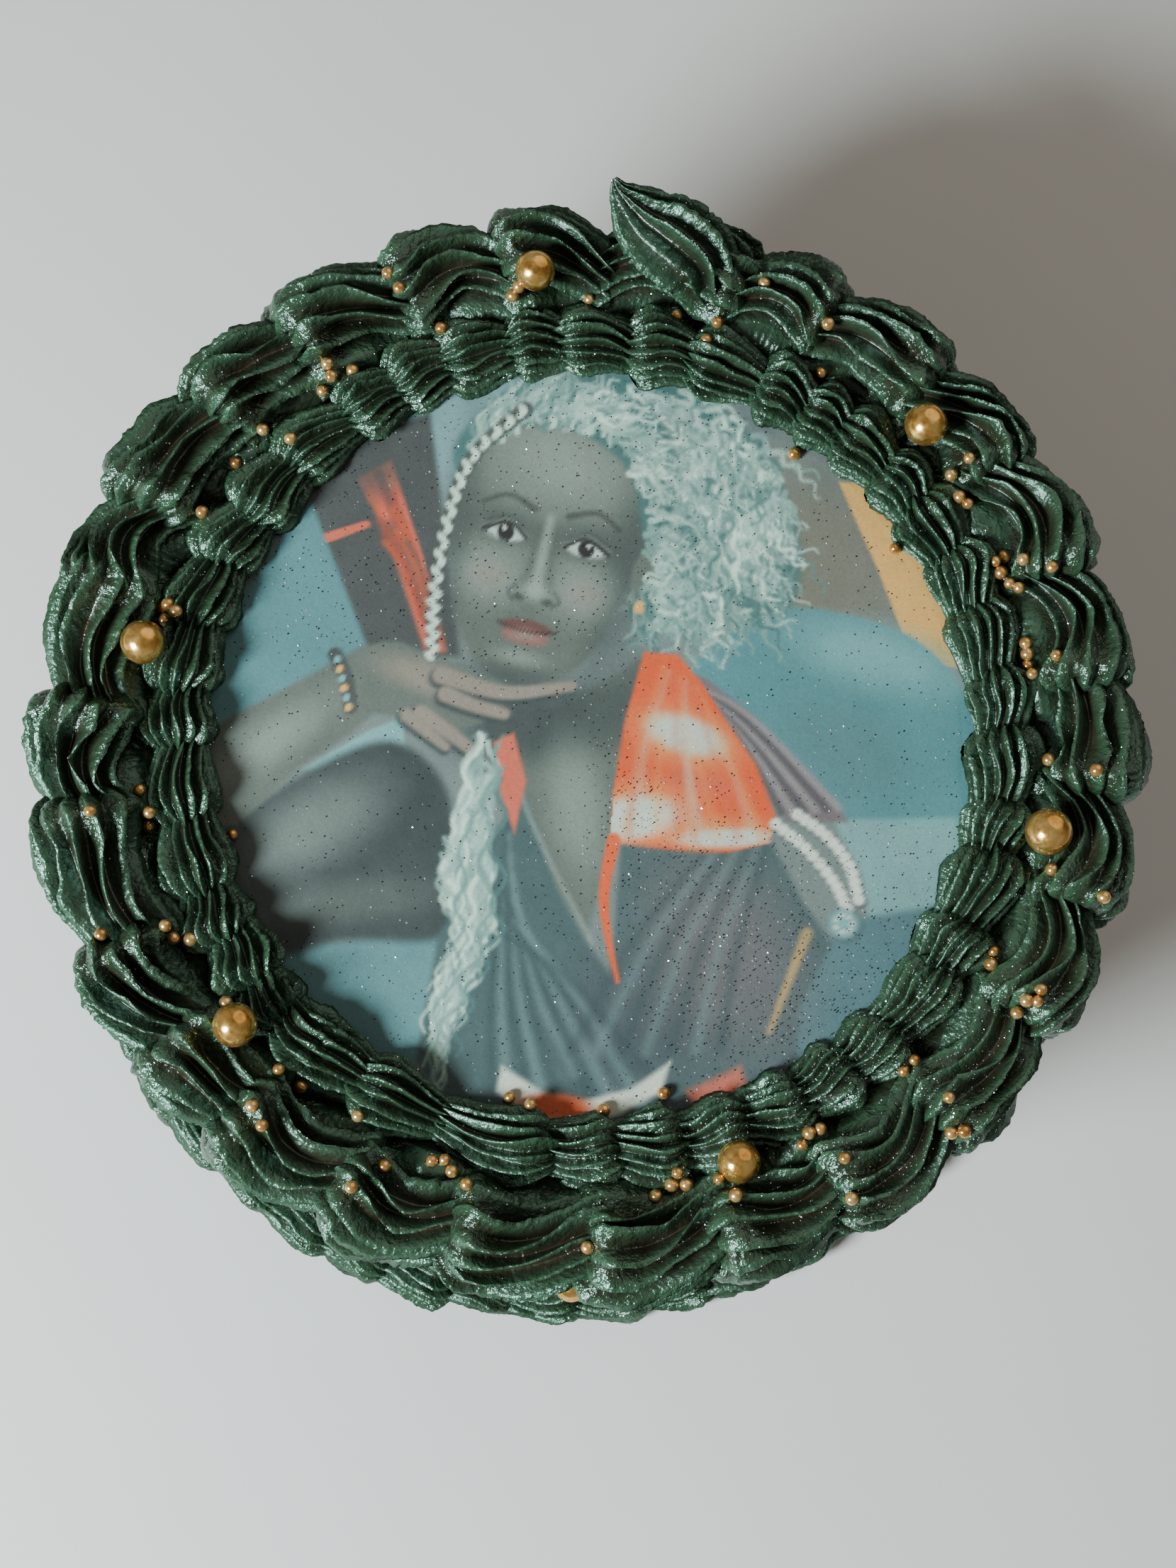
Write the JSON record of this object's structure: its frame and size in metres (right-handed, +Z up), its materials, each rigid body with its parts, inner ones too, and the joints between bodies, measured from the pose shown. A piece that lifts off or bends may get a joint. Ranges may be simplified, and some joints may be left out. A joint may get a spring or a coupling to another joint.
{
  "type": "photo cake",
  "caption": "Round buttercream cake with a printed picture on top, framed by ridged piped shell borders and scattered sugar pearls, with another piped border round its foot.",
  "frame": {"origin": "centre of the flat underside of the frosted body, on the cake's axis", "axes": "+Z up out of the picture, -Y towards the foot of the picture, +X towards the picture's right edge"},
  "size_m": [0.2507, 0.25, 0.1208],
  "materials": {
    "buttercream": "greasy bottle-green cream with fine grain, satin",
    "printed_sheet": "edible print on a damp icing sheet, satin",
    "sugar_pearl": "warm pale gold pearl lustre, semi-gloss"
  },
  "bodies": {
    "root": {"cake_body": "buttercream", "picture_sheet": "printed_sheet", "inner_border": "buttercream", "outer_border": "buttercream", "base_border": "buttercream", "pearl_1": "sugar_pearl", "pearl_2": "sugar_pearl", "pearl_3": "sugar_pearl", "pearl_4": "sugar_pearl", "pearl_5": "sugar_pearl", "pearl_6": "sugar_pearl", "pearl_7": "sugar_pearl"}
  },
  "joints": []
}
